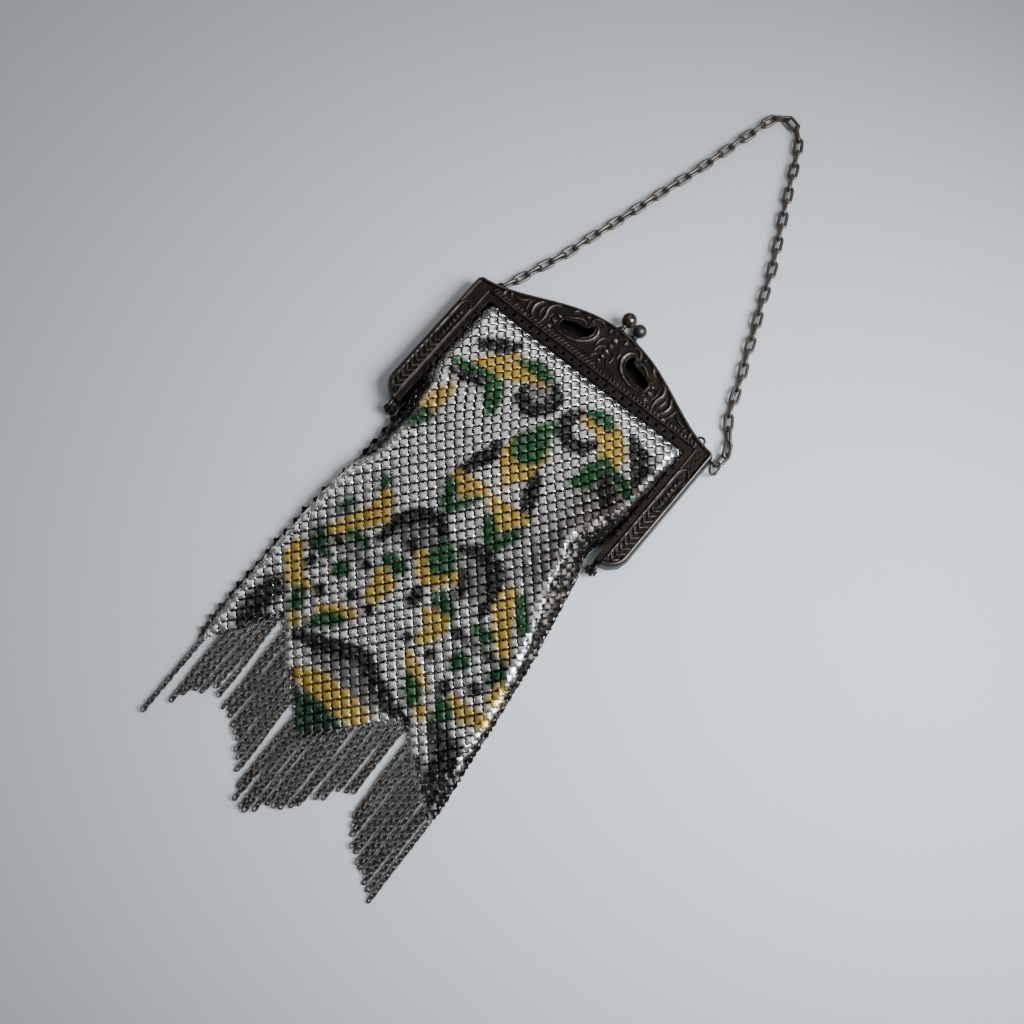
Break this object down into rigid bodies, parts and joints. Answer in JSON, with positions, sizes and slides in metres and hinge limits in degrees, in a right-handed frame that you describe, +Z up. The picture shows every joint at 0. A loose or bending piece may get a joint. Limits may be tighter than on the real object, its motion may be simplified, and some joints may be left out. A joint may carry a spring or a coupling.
{
  "type": "mesh purse",
  "caption": "Metal mesh purse with a hinged ornamental frame, a ball clasp, an enamelled bag with a zigzag hem, a link fringe and a chain handle.",
  "frame": {"origin": "middle of the purse's footprint, on the surface that it lies on", "axes": "+Z up from the surface through the purse's front, +Y from the fringe towards the handle chain, +X along the frame's bar towards the corner ring"},
  "size_m": [0.1084, 0.3076, 0.009],
  "materials": {
    "frame_metal": "tarnished, worn bright on the raised edges",
    "ball_copper": "polished, darkened",
    "ball_grey": "worn satin",
    "plate_mesh": "silvery plates with worn enamel",
    "link_metal": "tarnished wire"
  },
  "bodies": {
    "root": {"front_frame": "frame_metal", "back_frame": "frame_metal", "clasp_ball_front": "ball_copper", "clasp_ball_rear": "ball_grey", "hinge_pin_left": "frame_metal", "hinge_pin_right": "frame_metal", "corner_ring": "link_metal", "handle_chain": "link_metal", "mesh_bag": "plate_mesh", "fringe": "link_metal"}
  },
  "joints": []
}
